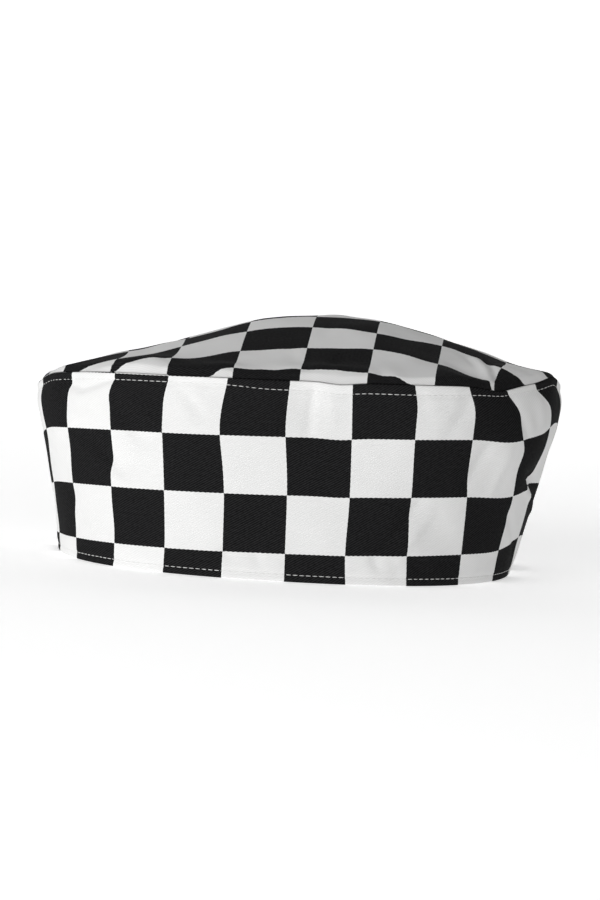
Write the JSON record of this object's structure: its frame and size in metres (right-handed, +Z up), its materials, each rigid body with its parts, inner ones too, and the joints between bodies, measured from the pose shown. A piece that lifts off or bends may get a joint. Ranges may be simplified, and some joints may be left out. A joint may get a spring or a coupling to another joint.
{
  "type": "chef skull cap",
  "caption": "Chef's cloth skull cap: a tall checked side band sewn to a low domed crown panel, open underneath for the head.",
  "frame": {"origin": "centre of the hem's bounding box, in the plane that the hem rests on", "axes": "+Z up out of the crown, +X to the right as seen in the picture, -Y toward the viewer at the front"},
  "size_m": [0.2227, 0.186, 0.105],
  "materials": {
    "band_check_twill": "matt cotton twill with a black and white check",
    "crown_check_twill": "matt cotton twill with a black and white check"
  },
  "bodies": {
    "root": {"side_band": "band_check_twill", "crown_panel": "crown_check_twill"}
  },
  "joints": []
}
